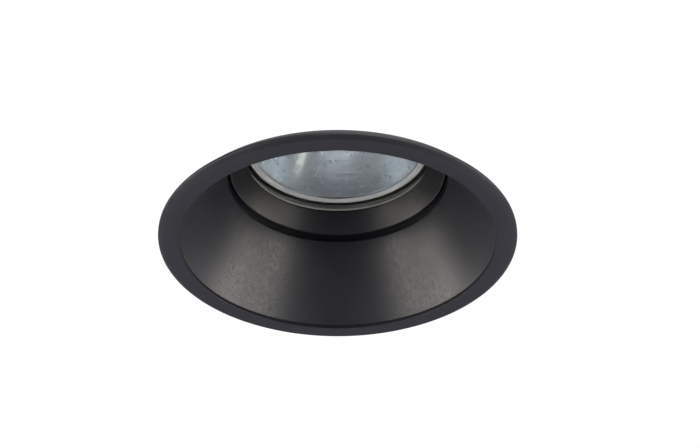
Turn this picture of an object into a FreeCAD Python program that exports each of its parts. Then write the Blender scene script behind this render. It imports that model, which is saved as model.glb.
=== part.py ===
import FreeCAD, Part
import math
import os

# Recessed soffit downlight: a round die-cast trim with a deep black cone, a
# drawn can above it, a twist-lock lens ring, a twist-and-lock reflector lamp,
# two sprung ceiling clips and a hinged terminal box on the can.
# Millimetres. Origin: centre of the ceiling plane (the back face of the
# flange). +Z points up into the ceiling, the room is below, at -Z.
# +X is the cable-entry side, the clips lie at +X and -X.

V = FreeCAD.Vector
os.makedirs("parts", exist_ok=True)

# ------------------------------------------------------- driving dimensions
flange_r = 47.5            # outer radius of the visible flange
flange_t = 4.12            # flange thickness below the ceiling
bevel_z, bevel_r = -3.43, 46.42   # soft bevel round the flange's lower outer corner
flange_edge = 0.9          # rounding between that bevel and the flange's face
flange_back_r = 44.90      # the side wall tapers in to this at the ceiling
taper_z = -2.77            # where that taper starts
mouth_r = 41.90            # radius of the cone's mouth at the flange face
mouth_land = 1.11          # short straight land inside the mouth
cone_r_top = 30.03         # inner cone radius at z = cone_z_ref
cone_z_ref = 18.50
ledge_z = 18.65            # top of the cone's upper lip
lip_r = 0.45               # rounding of that lip
cone_wall = 1.6
spigot_r = 42.90           # belt that centres the trim in the cut-out
spigot_h = 4.0
cutout_r = 43.5            # hole in the ceiling board, diameter 87
seal_r_in, seal_r_out, seal_t = 43.60, 44.50, 0.90
neck_r = 33.00             # outside of the neck
neck_bore_r = 30.20
gap_r, gap_z = 31.40, 20.55  # shadow-gap recess above the lip
shoulder_r, shoulder_z0, shoulder_z1 = 26.75, 30.80, 32.30

ring_r = 29.95             # twist-lock lens ring
ring_z0, ring_r0 = 19.95, 29.10
lip2_z, lip2_r = 25.20, 25.30   # upper lip of the ring, in front of the lens
lip2_top = 25.65
ring_r1 = 27.30            # bore round the lens's disc
seat_z = 28.30
upstand_z, upstand_r = 29.30, 28.45
lug_half_deg, lug_r_in = 5.0, 29.20
lug_z0, lug_z1 = 23.85, 25.55
lug_angles = (30.0, 150.0, 270.0)
ring_turn = 20.0           # degrees to release

lens_front_z, lens_back_z = 26.85, 29.70
lens_disc_r, lens_flange_r = 27.05, 28.30
lens_bevel = 0.40

can_ri, can_ro = 33.10, 34.10
can_z0, can_z_in, can_z_top = 19.50, 100.0, 101.2

lamp_r = 25.35             # rim of the standard 50 mm reflector lamp
lamp_front_z = 29.98
focal = 5.5
vertex_z = 56.9
base_z0, base_z1 = 57.0, 76.5
pin_pitch_r = 5.0          # pins 10 mm apart
pin_stem_r, pin_head_r = 1.25, 2.40
pin_head_z0, pin_head_z1 = 79.70, 82.20
lamp_turn = 20.0           # degrees to release

holder_z0, holder_plate_z, holder_z1 = 77.0, 79.40, 84.50
cap_z1 = 88.20
holder_screw_x = 11.5

clip_x, clip_z = 39.0, 27.0   # clip pivot, axis along Y
clip_len = 38.0
clip_rest_deg = -35.0
clip_pin_r = 1.50
wire_r = 0.45              # clip spring wire
coil_r = 2.20

box_x, box_y = 30.0, 17.0  # half sizes of the terminal box
box_z0, box_floor, box_z1, lid_z1 = 105.0, 106.5, 124.0, 125.6
box_wall = 1.5
entry_z = 114.0            # height of the cable entry and block bores
bush_x = -22.0
lead_r = 1.10
hinge_y, hinge_z = 19.20, 124.0


# ------------------------------------------------------------------ helpers
def profile_face(pts):
    """Closed face in the XZ plane from (r, z) or (r, z, rounding) corners."""
    n = len(pts)
    segs = []
    for i in range(n):
        p = pts[i]
        a, b = pts[i - 1], pts[(i + 1) % n]
        P = V(p[0], 0, p[1])
        rad = p[2] if len(p) > 2 else 0
        if rad <= 0:
            segs.append((P, P, None))
            continue
        ua = (V(a[0], 0, a[1]) - P).normalize()
        ub = (V(b[0], 0, b[1]) - P).normalize()
        half = math.acos(max(-1, min(1, ua.dot(ub)))) / 2
        t = rad / math.tan(half)
        T1, T2 = P + ua * t, P + ub * t
        mid = (ua + ub).normalize()
        C = P + mid * (rad / math.sin(half))
        M = C - mid * rad
        segs.append((T1, T2, M))
    edges = []
    for i in range(n):
        T1, T2, M = segs[i]
        if M is not None:
            edges.append(Part.Arc(T1, M, T2).toShape())
        nxt = segs[(i + 1) % n][0]
        if (nxt - T2).Length > 1e-6:
            edges.append(Part.LineSegment(T2, nxt).toShape())
    return Part.Face(Part.Wire(edges))


def turned(pts):
    s = profile_face(pts).revolve(V(0, 0, 0), V(0, 0, 1), 360)
    return s if s.ShapeType == "Solid" else s.Solids[0]


def box(x0, x1, y0, y1, z0, z1):
    return Part.makeBox(x1 - x0, y1 - y0, z1 - z0, V(x0, y0, z0))


def cyl(r, z0, z1, x=0.0, y=0.0):
    return Part.makeCylinder(r, z1 - z0, V(x, y, z0))


def cyl_x(r, x0, x1, y, z):
    return Part.makeCylinder(r, x1 - x0, V(x0, y, z), V(1, 0, 0))


def cyl_y(r, y0, y1, x, z):
    return Part.makeCylinder(r, y1 - y0, V(x, y0, z), V(0, 1, 0))


def sector(r0, r1, z0, z1, a0, a1):
    """Ring sector between angles a0 and a1, in degrees."""
    s = Part.makeCylinder(r1, z1 - z0, V(0, 0, z0), V(0, 0, 1), a1 - a0)
    s.rotate(V(0, 0, 0), V(0, 0, 1), a0)
    if r0 > 0:
        s = s.cut(cyl(r0, z0 - 1, z1 + 1))
    return s


def turn_z(shape, deg):
    s = shape.copy()
    s.rotate(V(0, 0, 0), V(0, 0, 1), deg)
    return s


def fused(*shapes):
    s = shapes[0].multiFuse(list(shapes[1:])) if len(shapes) > 1 else shapes[0]
    return s.removeSplitter()


def one(shape):
    """The single solid of a boolean result."""
    assert len(shape.Solids) == 1, "expected one solid, got %d" % len(shape.Solids)
    return shape.Solids[0]


def route(points, radii):
    """Wire of straight runs joined by tangent arcs, and its length."""
    P = [V(*p) for p in points]
    edges, here = [], P[0]
    for i in range(1, len(P) - 1):
        ua, ub = (P[i - 1] - P[i]).normalize(), (P[i + 1] - P[i]).normalize()
        half = math.acos(max(-1, min(1, ua.dot(ub)))) / 2
        rad = radii[i - 1]
        t = rad / math.tan(half)
        T1, T2 = P[i] + ua * t, P[i] + ub * t
        mid = (ua + ub).normalize()
        C = P[i] + mid * (rad / math.sin(half))
        edges.append(Part.LineSegment(here, T1).toShape())
        edges.append(Part.Arc(T1, C - mid * rad, T2).toShape())
        here = T2
    edges.append(Part.LineSegment(here, P[-1]).toShape())
    w = Part.Wire(edges)
    return w, w.Length


def tube(points, radii, r):
    """Round rod swept along a route, checked against section times length."""
    w, length = route(points, radii)
    d = (V(*points[1]) - V(*points[0])).normalize()
    disc = Part.Wire([Part.makeCircle(r, V(*points[0]), d)])
    s = w.makePipeShell([disc], True, True)
    s = s if s.ShapeType == "Solid" else s.Solids[0]
    ideal = math.pi * r * r * length
    print("tube radii", radii, "length %.1f" % length, "volume / ideal %.4f" % (s.Volume / ideal))
    return s, length


def screw(r_head, h_head, r_shank, length, kind="pan", slot=True):
    """Screw standing along +Z: under-head plane at z = 0, shank below it."""
    if kind == "pan":
        f = profile_face([(0, 0), (r_head, 0), (r_head, h_head, 0.45 * h_head), (0, h_head)])
    else:
        f = profile_face([(0, 0), (r_head, 0), (r_head, h_head), (0, h_head)])
    head = f.revolve(V(0, 0, 0), V(0, 0, 1), 360).Solids[0]
    shank = cyl(r_shank, -length, 0.0)
    tip = Part.makeCone(r_shank * 0.7, r_shank, 0.5, V(0, 0, -length - 0.5))
    s = fused(head, shank, tip)
    if slot:
        w = r_head * 0.22
        d = h_head * 0.45
        a = box(-w / 2, w / 2, -r_head * 0.6, r_head * 0.6, h_head - d, h_head + 1)
        s = s.cut(a).cut(turn_z(a, 90))
    return one(s)


def placed(shape, pos, direction):
    """Copy of a shape built along +Z, moved to pos and turned to direction."""
    s = shape.copy()
    s.Placement = FreeCAD.Placement(V(*pos), FreeCAD.Rotation(V(0, 0, 1), V(*direction)))
    return s


def mirror_x(shape):
    return shape.mirror(V(0, 0, 0), V(1, 0, 0))


parts = {}


def add(name, shape):
    solids = shape.Solids
    out = solids[0] if len(solids) == 1 else Part.makeCompound(solids)
    assert out.isValid(), name
    parts[name] = out


def cone_r(z):
    """Inner cone radius at height z."""
    z_m = -flange_t + mouth_land
    k = (mouth_r - cone_r_top) / (cone_z_ref - z_m)
    return mouth_r - (z - z_m) * k


# ------------------------------------------------------------- trim casting
z_land = -flange_t + mouth_land
k_cone = (mouth_r - cone_r_top) / (cone_z_ref - z_land)
wall_h = cone_wall * math.sqrt(1 + k_cone * k_cone)      # wall measured level
z_neck = z_land + (mouth_r + wall_h - neck_r) / k_cone   # outer cone meets neck
z_belt = spigot_h + 0.5
trim = turned([
    (mouth_r, -flange_t, 0.12),
    (mouth_r, z_land, 0.20),
    (cone_r(ledge_z), ledge_z, lip_r),
    (gap_r, ledge_z),
    (gap_r, gap_z),
    (neck_bore_r, gap_z),
    (neck_bore_r, shoulder_z0),
    (shoulder_r, shoulder_z0),
    (shoulder_r, shoulder_z1, 0.3),
    (neck_r, shoulder_z1, 0.4),
    (neck_r, z_neck, 2.0),
    (cone_r(z_belt) + wall_h, z_belt, 1.0),
    (spigot_r - 0.5, z_belt),
    (spigot_r, spigot_h),
    (spigot_r, 0.0),
    (flange_back_r, 0.0, 0.10),
    (flange_r, taper_z, 0.35),
    (flange_r, bevel_z, 0.25),
    (bevel_r, -flange_t, flange_edge),
])
# bayonet lugs standing in from the neck bore
for a in lug_angles:
    lug = sector(lug_r_in, neck_bore_r + 0.6, lug_z0, lug_z1, a - lug_half_deg, a + lug_half_deg)
    trim = trim.fuse(lug)
# groove for the foam ceiling seal in the flange's back
trim = trim.cut(cyl(seal_r_out, -seal_t, 1.0).cut(cyl(seal_r_in, -seal_t - 1, 2.0)))
# groove for the can's O-ring
o_z = 29.2
trim = trim.cut(cyl(neck_r + 1, o_z - 0.8, o_z + 0.8).cut(cyl(neck_r - 1.0, o_z - 2, o_z + 2)))
# three tapped holes for the can screws
can_screw_angles = (90.0, 210.0, 330.0)
can_screw_z = 24.0
for a in can_screw_angles:
    h = Part.makeCylinder(1.25, 6, V(31.0, 0, can_screw_z), V(1, 0, 0))
    trim = trim.cut(turn_z(h, a))
add("trim_casting", one(trim.removeSplitter()))

add("ceiling_seal", cyl(seal_r_out, -seal_t, 0.0).cut(cyl(seal_r_in, -seal_t - 1, 1.0)))

# ---------------------------------------------------------------- lens ring
ring = turned([
    (ring_r0, ring_z0, 0.40),
    (lip2_r, lip2_z, 0.15),
    (lip2_r, lip2_top, 0.10),
    (ring_r1, lip2_top),
    (ring_r1, seat_z),
    (upstand_r, seat_z),
    (upstand_r, upstand_z),
    (ring_r, upstand_z, 0.2),
    (ring_r, ring_z0 + 1.2, 0.5),
    (ring_r - 0.40, ring_z0, 0.12),
])
slot_r = 29.00
slot_z0, slot_z1 = lug_z0 - 0.25, lug_z1 + 0.25
for a in lug_angles:
    leg = sector(slot_r, ring_r + 1, slot_z0, slot_z1, a - 6.5, a + ring_turn + 6.5)
    entry = sector(slot_r, ring_r + 1, slot_z0, upstand_z + 1, a + ring_turn - 6.5, a + ring_turn + 6.5)
    ring = ring.cut(leg).cut(entry)
add("lens_ring", one(ring))

# stepped clear lens with a polished bevel round its front
lens = turned([
    (0, lens_front_z),
    (lens_disc_r - lens_bevel, lens_front_z),
    (lens_disc_r, lens_front_z + lens_bevel),
    (lens_disc_r, seat_z),
    (lens_flange_r, seat_z, 0.15),
    (lens_flange_r, lens_back_z, 0.25),
    (0, lens_back_z),
])
add("front_lens", lens)

# silicone gasket squeezed between the lens and the neck's shoulder
add("lens_gasket", turned([
    (shoulder_r + 0.15, lens_back_z), (lens_flange_r, lens_back_z),
    (lens_flange_r, shoulder_z0), (shoulder_r + 0.15, shoulder_z0)]))

# ---------------------------------------------------------------------- can
can = turned([
    (can_ri, can_z0), (can_ri, can_z_in, 2.0), (0, can_z_in), (0, can_z_top),
    (can_ro, can_z_top, 3.0), (can_ro, 40.2, 0.0), (can_ro, can_z0)])
for a in can_screw_angles:
    h = Part.makeCylinder(1.6, 8, V(30, 0, can_screw_z), V(1, 0, 0))
    can = can.cut(turn_z(h, a))
bush_hole_r = 5.0
can = can.cut(cyl(bush_hole_r, 95, 110, bush_x, 0))
brkt_y = 22.0
for sy in (-1, 1):
    can = can.cut(cyl(1.6, 95, 110, 0, sy * brkt_y))
rivet_deg, rivet_z = 17.6, 41.0
for base in (0.0, 180.0):
    for s in (-1, 1):
        h = Part.makeCylinder(1.25, 8, V(30, 0, rivet_z), V(1, 0, 0))
        can = can.cut(turn_z(h, base + s * rivet_deg))
add("can", one(can))

# screws that hold the can on the neck
scr = screw(2.6, 1.7, 1.25, 2.5)
add("can_screws", Part.makeCompound([
    placed(scr, (can_ro * math.cos(math.radians(a)), can_ro * math.sin(math.radians(a)), can_screw_z),
           (math.cos(math.radians(a)), math.sin(math.radians(a)), 0)) for a in can_screw_angles]))
o_minor = 0.53
add("can_o_ring", Part.makeTorus(can_ri - 0.02 - o_minor, o_minor, V(0, 0, o_z)))

# --------------------------------------------------------------------- lamp
# glass reflector: parabola inside, rim and neck outside


def arc_profile(fn, z0, z1, n):
    return [(fn(z0 + (z1 - z0) * i / n), z0 + (z1 - z0) * i / n) for i in range(n + 1)]


def refl_in(z):
    return math.sqrt(max(0.0, 4 * focal * (vertex_z - z)))


rim_in_r = 23.60
z_rim_in = lamp_front_z + 2.25
z_rim_out = lamp_front_z + 3.0
z_neck_in = vertex_z - 6.5 ** 2 / (4 * focal)
inner = arc_profile(refl_in, z_rim_in, z_neck_in, 12)
inner_curve = Part.BSplineCurve()
inner_curve.interpolate([V(r, 0, z) for r, z in inner])


def refl_out(z):
    t = (z - z_rim_out) / (58.6 - z_rim_out)
    return 10.2 + (24.9 - 10.2) * math.sqrt(max(0.0, 1 - t ** 1.55))


outer = [(24.9 - 14.7 * (i / 12.0) ** 2.2, z_rim_out + (56.4 - z_rim_out) * (i / 12.0) ** 0.9) for i in range(13)]
outer_curve = Part.BSplineCurve()
outer_curve.interpolate([V(r, 0, z) for r, z in outer])


def seg(a, b):
    return Part.LineSegment(V(a[0], 0, a[1]), V(b[0], 0, b[1])).toShape()


neck_top = 60.0
w = Part.Wire([
    inner_curve.toShape(),
    seg(inner[-1], (6.5, neck_top)),
    seg((6.5, neck_top), (10.2, neck_top)),
    seg((10.2, neck_top), outer[-1]),
    outer_curve.toShape(),
    seg(outer[0], (lamp_r, z_rim_out - 0.2)),
    seg((lamp_r, z_rim_out - 0.2), (lamp_r, lamp_front_z + 0.5)),
    seg((lamp_r, lamp_front_z + 0.5), (lamp_r - 0.5, lamp_front_z)),
    seg((lamp_r - 0.5, lamp_front_z), (rim_in_r, lamp_front_z)),
    seg((rim_in_r, lamp_front_z), (rim_in_r, z_rim_in)),
    seg((rim_in_r, z_rim_in), inner[0]),
])
refl = Part.Face(w).revolve(V(0, 0, 0), V(0, 0, 1), 360)
add("lamp_reflector", one(refl))
add("lamp_cover_glass", turned([
    (0, lamp_front_z + 0.35), (rim_in_r - 0.05, lamp_front_z + 0.35, 0.2),
    (rim_in_r - 0.05, z_rim_in - 0.02), (0, z_rim_in - 0.02)]))

# quartz capsule with its pinch, standing at the reflector's focus
capsule = turned([
    (0, 41.2), (1.2, 42.0, 0.6), (4.4, 45.0, 3.0), (4.4, 55.0, 1.5), (2.6, 57.4, 0.5), (2.6, 58.2), (0, 58.2)])
pinch = box(-4.6, 4.6, -1.4, 1.4, 57.6, 66.0)
hollow = turned([(0, 43.6), (3.5, 46.0, 2.0), (3.5, 54.6, 1.0), (0, 55.6)])
add("lamp_capsule", one(fused(capsule, pinch).cut(hollow)))
fil_r, fil_wire = 1.0, 0.14
hel = Part.makeHelix(0.55, 4.4, fil_r)
hel.translate(V(0, 0, 49.2))
fprof = Part.Wire([Part.makeCircle(fil_wire, V(fil_r, 0, 49.2), V(0, 1, 0))])
fil = Part.Wire(hel.Edges).makePipeShell([fprof], True, True)
fil = fil if fil.ShapeType == "Solid" else fil.Solids[0]
add("lamp_filament", fil)

# ceramic base with two side flats
bshape = turned([
    (0, base_z0 + 1.5), (6.45, base_z0 + 1.5), (6.45, neck_top), (10.25, neck_top), (10.25, base_z0),
    (12.2, base_z0, 0.4), (12.2, 62.0, 0.8), (9.6, 65.0, 1.2), (9.2, base_z1, 1.0), (0, base_z1)])
bshape = bshape.cut(box(-20, 20, 7.6, 20, 64.0, 80)).cut(box(-20, 20, -20, -7.6, 64.0, 80))
bshape = bshape.cut(box(-4.6, 4.6, -1.4, 1.4, 57.0, 66.0))
for s in (-1, 1):
    bshape = bshape.cut(cyl(pin_stem_r, 72.0, 80.0, s * pin_pitch_r, 0))
add("lamp_base", one(bshape))
pins = []
for s in (-1, 1):
    stem = cyl(pin_stem_r, 72.0, pin_head_z0 + 0.1, s * pin_pitch_r, 0)
    head = profile_face([(0, pin_head_z0), (pin_head_r, pin_head_z0, 0.3), (pin_head_r, pin_head_z1, 0.6),
                         (0, pin_head_z1)]).revolve(V(0, 0, 0), V(0, 0, 1), 360).Solids[0]
    head.translate(V(s * pin_pitch_r, 0, 0))
    pins.append(one(fused(stem, head)))
add("lamp_pins", Part.makeCompound(pins))

# -------------------------------------------------------------- lampholder


def stadium(half_len, half_w, z0, z1):
    c = half_len - half_w
    return fused(box(-c, c, -half_w, half_w, z0, z1), cyl(half_w, z0, z1, -c, 0), cyl(half_w, z0, z1, c, 0))


holder = stadium(15.5, 9.6, holder_z0, holder_z1)
slot_a = lamp_turn
for base in (0.0, 180.0):
    chamber = sector(2.0, 8.0, holder_plate_z, holder_z1 + 1, base - 53, base + 42)
    track = sector(pin_pitch_r - 1.55, pin_pitch_r + 1.55, holder_z0 - 1, holder_plate_z + 0.5, base - slot_a, base)
    end = cyl(1.55, holder_z0 - 1, holder_plate_z + 0.5, pin_pitch_r, 0)
    hole = cyl(2.80, holder_z0 - 1, holder_plate_z + 0.5, pin_pitch_r, 0)
    holder = holder.cut(chamber).cut(track).cut(turn_z(end, base)).cut(turn_z(hole, base - slot_a))
for s in (-1, 1):
    holder = holder.cut(cyl(1.25, 78.5, 90, s * holder_screw_x, 0))
add("lampholder_body", one(holder))

lead_a = 20.0
lx = pin_pitch_r * math.cos(math.radians(lead_a))
ly = pin_pitch_r * math.sin(math.radians(lead_a))
cap = stadium(15.5, 9.6, holder_z1, cap_z1)
for s in (-1, 1):
    cap = cap.cut(cyl(1.6, holder_z1 - 1, cap_z1 + 1, s * holder_screw_x, 0))
    cap = cap.cut(cyl(1.45, holder_z1 - 1, cap_z1 + 1, s * lx, s * ly))
add("lampholder_cap", one(cap))

# spring-brass contacts lying over the pin heads, each with a crimp barrel
leaf_z = pin_head_z1 + 0.03
contacts = []
for base in (0.0, 180.0):
    leaf = sector(3.0, 7.2, leaf_z, leaf_z + 0.4, -30, 28)
    barrel = cyl(1.40, leaf_z + 0.3, holder_z1 - 0.05, lx, ly).cut(cyl(0.62, leaf_z + 0.7, holder_z1 + 1, lx, ly))
    contacts.append(turn_z(one(fused(leaf, barrel)), base))
add("lampholder_contacts", Part.makeCompound(contacts))

# folded steel strip that hangs the lampholder from the can's top
bt = 1.0
plate = box(-15, 15, -9.0, 9.0, cap_z1, cap_z1 + bt).cut(cyl(7.2, 80, 95))
strips = []
for s in (-1, 1):
    y0, y1 = sorted((s * 9.0, s * 15.0))
    strips.append(box(-5, 5, y0, y1, cap_z1, cap_z1 + bt))
    y0, y1 = sorted((s * 14.0, s * 15.0))
    strips.append(box(-5, 5, y0, y1, cap_z1, can_z_in))
    y0, y1 = sorted((s * 14.0, s * 26.5))
    strips.append(box(-5, 5, y0, y1, can_z_in - bt, can_z_in))
hb = fused(plate, *strips)
for s in (-1, 1):
    hb = hb.cut(cyl(1.6, 80, 95, s * holder_screw_x, 0)).cut(cyl(1.6, 95, 105, 0, s * brkt_y))
add("lampholder_bracket", one(hb))
hs = screw(2.6, 1.8, 1.25, 9.0)
add("lampholder_screws", Part.makeCompound([placed(hs, (s * holder_screw_x, 0, cap_z1 + bt), (0, 0, 1)) for s in (-1, 1)]))

# ------------------------------------------------------ terminal box bracket
bz = box_z0 - bt           # underside of the raised plate
tb = [box(-29, 27, -13, 13, bz, box_z0)]
for s in (-1, 1):
    y0, y1 = sorted((s * 12.0, s * 13.0))
    tb.append(box(-7, 7, y0, y1, can_z_top, box_z0))
    y0, y1 = sorted((s * 12.0, s * 26.5))
    tb.append(box(-7, 7, y0, y1, can_z_top, can_z_top + bt))
tb = fused(*tb)
tb = tb.cut(cyl(bush_hole_r, 95, 110, bush_x, 0))
base_scr_xy = ((12.2, -10.5), (-24.0, -10.5), (-24.0, 10.5))   # the last one is the earth screw
for x, y in base_scr_xy:
    tb = tb.cut(cyl(1.25, 95, 110, x, y))
for s in (-1, 1):
    tb = tb.cut(cyl(1.6, 95, 104, 0, s * brkt_y))
add("terminal_bracket", one(tb))
bs = screw(2.8, 1.9, 1.5, 4.6)
add("bracket_screws", Part.makeCompound([
    placed(bs, (0, s * brkt_y, can_z_top + bt), (0, 0, 1)) for s in (-1, 1)]))
nuts = []
for s in (-1, 1):
    hexa = Part.Face(Part.makePolygon([
        V(3.15 * math.cos(math.radians(60 * i)), 3.15 * math.sin(math.radians(60 * i)), 0) for i in range(7)]))
    nut = hexa.extrude(V(0, 0, -2.4))
    nut = nut.cut(cyl(1.5, -5, 5))
    nut.translate(V(0, s * brkt_y, can_z_in - bt))
    nuts.append(nut)
add("bracket_nuts", Part.makeCompound(nuts))

# ------------------------------------------------------------- terminal box
tbase = box(-box_x, box_x, -box_y, box_y, box_z0, box_z1)
vert = [e for e in tbase.Edges if abs(e.Vertexes[0].Z - e.Vertexes[1].Z) > 10]
tbase = tbase.makeFillet(3.0, vert)
inner_b = box(-box_x + box_wall, box_x - box_wall, -box_y + box_wall, box_y - box_wall, box_floor, box_z1 + 1)
vert = [e for e in inner_b.Edges if abs(e.Vertexes[0].Z - e.Vertexes[1].Z) > 10]
tbase = tbase.cut(inner_b.makeFillet(1.6, vert))
clamp_x, clamp_y = 20.0, 8.0
for s in (-1, 1):
    post = cyl(2.6, box_floor - 0.5, 117.5, clamp_x, s * clamp_y)
    tbase = tbase.fuse(post)
# cable saddle between the posts
tbase = tbase.fuse(box(clamp_x - 1.2, clamp_x + 1.2, -5.6, 5.6, box_floor - 0.5, 109.0).cut(
    cyl_x(3.9, clamp_x - 3, clamp_x + 3, 0, entry_z - 0.9)))
# hinge knuckles and their webs
kn_r = 2.0
for x0, x1 in ((-24.0, -16.0), (16.0, 24.0)):
    kn = cyl_x(kn_r, x0, x1, hinge_y, hinge_z - 2.1)
    web = Part.Face(Part.makePolygon([
        V(x0, box_y - 0.5, hinge_z - 8.0), V(x0, hinge_y + 1.0, hinge_z - 3.83), V(x0, hinge_y, hinge_z - 2.1),
        V(x0, box_y - 0.5, hinge_z - 2.1), V(x0, box_y - 0.5, hinge_z - 8.0)])).extrude(V(x1 - x0, 0, 0))
    tbase = tbase.fuse(kn).fuse(web)
hz = hinge_z - 2.1         # height of the hinge axis
tbase = tbase.cut(cyl_x(0.80, -30, 30, hinge_y, hz))
tbase = tbase.cut(cyl_x(5.2, box_x - 4, box_x + 2, 0, entry_z))
tbase = tbase.cut(cyl(bush_hole_r, 95, 110, bush_x, 0))
for x, y in base_scr_xy:
    tbase = tbase.cut(cyl(1.6, 95, 110, x, y))
for s in (-1, 1):
    tbase = tbase.cut(cyl(1.1, 108.0, 120, clamp_x, s * clamp_y))
# thin wall over the hinge pin line between the knuckles stays flush
add("terminal_box_base", one(tbase.removeSplitter()))

# lid: plate, inner locating rim, centre knuckle and thumb tab
lid = box(-box_x, box_x, -box_y, box_y, box_z1, lid_z1)
vert = [e for e in lid.Edges if abs(e.Vertexes[0].Z - e.Vertexes[1].Z) > 1]
lid = lid.makeFillet(3.0, vert)
top_e = [e for e in lid.Edges if abs(e.BoundBox.ZMin - lid_z1) < 1e-6 and abs(e.BoundBox.ZMax - lid_z1) < 1e-6]
lid = lid.makeFillet(0.7, top_e)
rim_o = box(-box_x + 1.7, box_x - 1.7, -box_y + 1.7, box_y - 2.4, box_z1 - 1.8, box_z1 + 0.5)
vert = [e for e in rim_o.Edges if abs(e.Vertexes[0].Z - e.Vertexes[1].Z) > 1]
rim_o = rim_o.makeFillet(1.4, vert)
rim = rim_o.cut(box(-box_x + 2.9, box_x - 2.9, -box_y + 2.9, box_y - 3.6, box_z1 - 5, box_z1 + 5))
lid = lid.fuse(rim)
lk0, lk1 = -15.7, 15.7
lkn = cyl_x(kn_r, lk0, lk1, hinge_y, hz)
cover = Part.Face(Part.makePolygon([
    V(lk0, box_y - 1.5, box_z1), V(lk0, hinge_y + 0.6, box_z1), V(lk0, hinge_y + 0.2, lid_z1 - 0.5),
    V(lk0, box_y - 1.5, lid_z1 - 0.2), V(lk0, box_y - 1.5, box_z1)])).extrude(V(lk1 - lk0, 0, 0))
lid = lid.fuse(lkn).fuse(cover).fuse(box(lk0, lk1, hinge_y - 1.2, hinge_y + 1.2, hz, box_z1 + 0.2))
lid = lid.cut(cyl_x(0.87, -30, 30, hinge_y, hz))
tab = box(-7, 7, -box_y - 2.4, -box_y + 1, box_z1 + 0.1, lid_z1 - 0.3)
vert = [e for e in tab.Edges if abs(e.Vertexes[0].Z - e.Vertexes[1].Z) > 1 and e.Vertexes[0].Y < -box_y]
lid = lid.fuse(tab.makeFillet(1.6, vert))
add("terminal_box_lid", one(lid.removeSplitter()))
add("lid_hinge_pin", cyl_x(0.80, -24.0, 24.0, hinge_y, hz))

# rubber bush carrying the leads from the can into the box
bush = turned([
    (2.75, 98.4, 0.3), (6.3, 98.4, 0.5), (6.3, can_z_in), (bush_hole_r, can_z_in),
    (bush_hole_r, box_floor), (6.3, box_floor), (6.3, 107.9, 0.5), (2.75, 107.9, 0.3)])
bush.translate(V(bush_x, 0, 0))
add("lead_bush", bush)

# rubber cable grommet in the end wall
gr = Part.Face(profile_face([
    (3.5, 0, 0.0), (5.0, 0, 0.4), (6.8, 1.5), (6.8, 3.0), (5.2, 3.0), (5.2, 4.5), (6.8, 4.5),
    (6.8, 6.0, 0.5), (5.2, 8.0, 0.5), (3.5, 8.0, 0.0)]).Wires[0]).revolve(V(0, 0, 0), V(0, 0, 1), 360).Solids[0]
add("cable_grommet", placed(gr, (box_x - box_wall - 3.0, 0, entry_z), (1, 0, 0)))

# screws that fix the base, and the earth screw with its tag
fs = screw(2.6, 1.7, 1.25, 4.0)
add("box_screws", Part.makeCompound([placed(fs, (x, y, box_floor), (0, 0, 1)) for x, y in base_scr_xy[:2]]))
ex, ey = base_scr_xy[2]
tag = fused(cyl(3.1, box_floor, box_floor + 0.8, ex, ey), box(ex, ex + 7.0, ey - 1.6, ey + 1.6, box_floor, box_floor + 0.8))
tag = tag.cut(cyl(1.6, 100, 110, ex, ey))
crimp = cyl_x(1.55, ex + 4.6, ex + 8.0, ey, box_floor + 1.65)
tag = fused(tag, crimp).cut(cyl_x(0.62, ex + 5.2, ex + 9, ey, box_floor + 1.65))
tag = tag.cut(box(-60, 60, -60, 60, 90, box_floor))
add("earth_tag", one(tag))
es = screw(2.6, 1.7, 1.25, 4.6)
add("earth_screw", placed(es, (ex, ey, box_floor + 0.8), (0, 0, 1)))

# ----------------------------------------------------------- terminal block
blk_x0, blk_x1, blk_z1 = -9.0, 7.0, 120.0
pole_y = (-8.0, 0.0, 8.0)
blk = box(blk_x0, blk_x1, -12.5, 12.5, box_floor, blk_z1)
top_e = [e for e in blk.Edges if abs(e.BoundBox.ZMin - blk_z1) < 1e-6 and abs(e.BoundBox.ZMax - blk_z1) < 1e-6]
blk = blk.makeFillet(0.6, top_e)
for y in (-4.0, 4.0):      # waists between the poles
    blk = blk.cut(box(blk_x0 - 1, blk_x0 + 1.6, y - 1.0, y + 1.0, box_floor + 2, blk_z1 + 1))
    blk = blk.cut(box(blk_x1 - 1.6, blk_x1 + 1, y - 1.0, y + 1.0, box_floor + 2, blk_z1 + 1))
scr_x = (-5.0, 3.0)
for y in pole_y:
    blk = blk.cut(cyl_x(2.6, blk_x0 + 1.0, blk_x1 - 1.0, y, entry_z)).cut(cyl_x(1.9, blk_x0 - 1, blk_x1 + 1, y, entry_z))
    for x in scr_x:
        blk = blk.cut(cyl(2.0, entry_z, blk_z1 + 1, x, y))
add("terminal_block", one(blk))
tubes, tscr = [], []
for y in pole_y:
    t = cyl_x(2.6, blk_x0 + 1.0, blk_x1 - 1.0, y, entry_z).cut(cyl_x(1.6, blk_x0, blk_x1, y, entry_z))
    for x in scr_x:
        t = t.cut(cyl(1.35, entry_z, entry_z + 5, x, y))
    tubes.append(one(t))
    for x in scr_x:
        z0 = entry_z + 0.65 if x < 0 else entry_z + 1.7
        g = cyl(1.35, z0, z0 + 3.6, x, y).cut(box(x - 0.3, x + 0.3, y - 2, y + 2, z0 + 2.7, z0 + 5))
        tscr.append(one(g))
add("terminal_contacts", Part.makeCompound(tubes))
add("terminal_screws", Part.makeCompound(tscr))

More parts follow.
